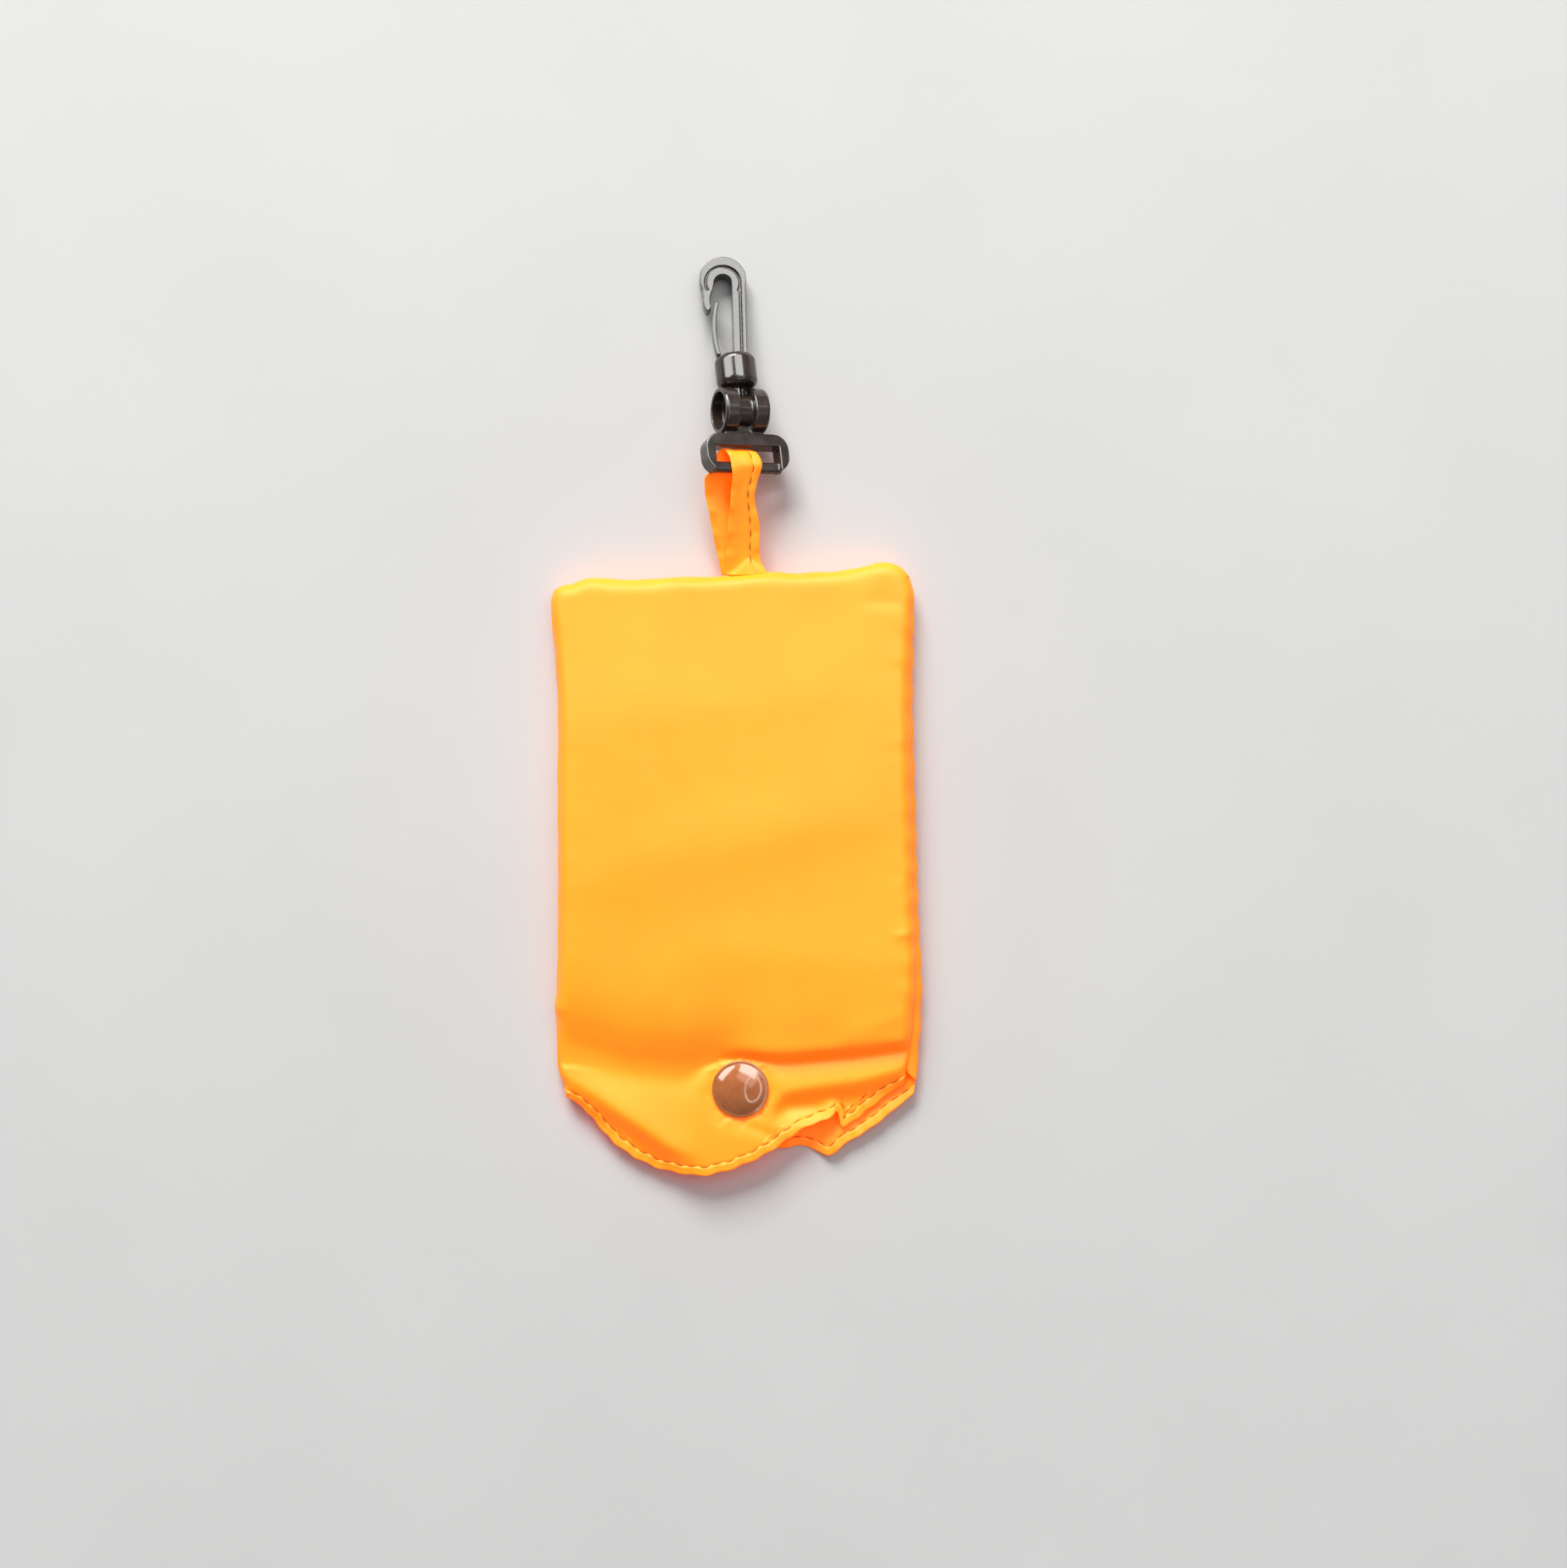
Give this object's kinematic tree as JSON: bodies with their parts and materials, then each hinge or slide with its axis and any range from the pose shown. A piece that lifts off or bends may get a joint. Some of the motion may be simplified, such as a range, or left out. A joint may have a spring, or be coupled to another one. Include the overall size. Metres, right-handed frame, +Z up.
{
  "type": "treat pouch",
  "caption": "Flat zip-free fabric pouch with a scalloped mouth closed by a snap, filled with a folded insert, on a strap with a swivel snap hook.",
  "frame": {"origin": "centre of the pouch's back, on the surface that it lies on", "axes": "+X to the pouch's right, +Y from the mouth towards the snap hook, +Z up out of the front"},
  "size_m": [0.079, 0.2011, 0.0144],
  "materials": {
    "nylon": "thin plain-woven nylon with a slight sheen",
    "nylon_insert": "the same thin nylon, folded",
    "tape": "folded and stitched nylon tape",
    "thread": "polyester sewing thread",
    "snap_resin": "dark brown polished resin",
    "snap_works": "dark moulded resin",
    "clip_plastic": "black moulded acetal, semi-gloss"
  },
  "bodies": {
    "pouch": {"front_panel": "nylon", "back_panel": "nylon", "left_seam_thread": "thread", "right_seam_thread": "thread", "top_seam_thread": "thread", "back_hem_thread": "thread", "folded_insert": "nylon_insert", "snap_stud": "snap_works", "snap_back_cap": "snap_resin"},
    "front_lip": {"front_lip": "nylon", "front_hem_thread": "thread", "snap_socket": "snap_works", "snap_cap": "snap_resin"},
    "strap": {"strap_loop": "tape", "strap_thread": "thread"},
    "clip_base": {"swivel_base": "clip_plastic"},
    "hook": {"hook": "clip_plastic"},
    "gate": {"hook_gate": "clip_plastic"}
  },
  "joints": [
    {"name": "front_lip_open", "type": "hinge", "parent": "pouch", "child": "front_lip", "pos_m": [0, -0.028, 0.0096], "axis": [-1, 0, 0], "range_deg": [0, 38]},
    {"name": "strap_swing", "type": "hinge", "parent": "pouch", "child": "strap", "pos_m": [0.0036, 0.0652, 0.0032], "axis": [1, 0, 0], "range_deg": [-75, 78]},
    {"name": "clip_swing", "type": "hinge", "parent": "strap", "child": "clip_base", "pos_m": [0.0042, 0.0877, 0.009], "axis": [0.9156, 0.0169, -0.4018], "range_deg": [-60, 60]},
    {"name": "hook_swivel", "type": "hinge", "parent": "clip_base", "child": "hook", "pos_m": [0.00248, 0.10738, 0.00591], "axis": [-0.0861, 0.9842, -0.1547], "continuous": true},
    {"name": "gate_flex", "type": "hinge", "parent": "hook", "child": "gate", "pos_m": [-0.00142, 0.11272, 0.00538], "axis": [-0.0907, -0.1624, -0.9825], "range_deg": [0, 10], "stiffness_Nm_per_rad": 0.02}
  ]
}
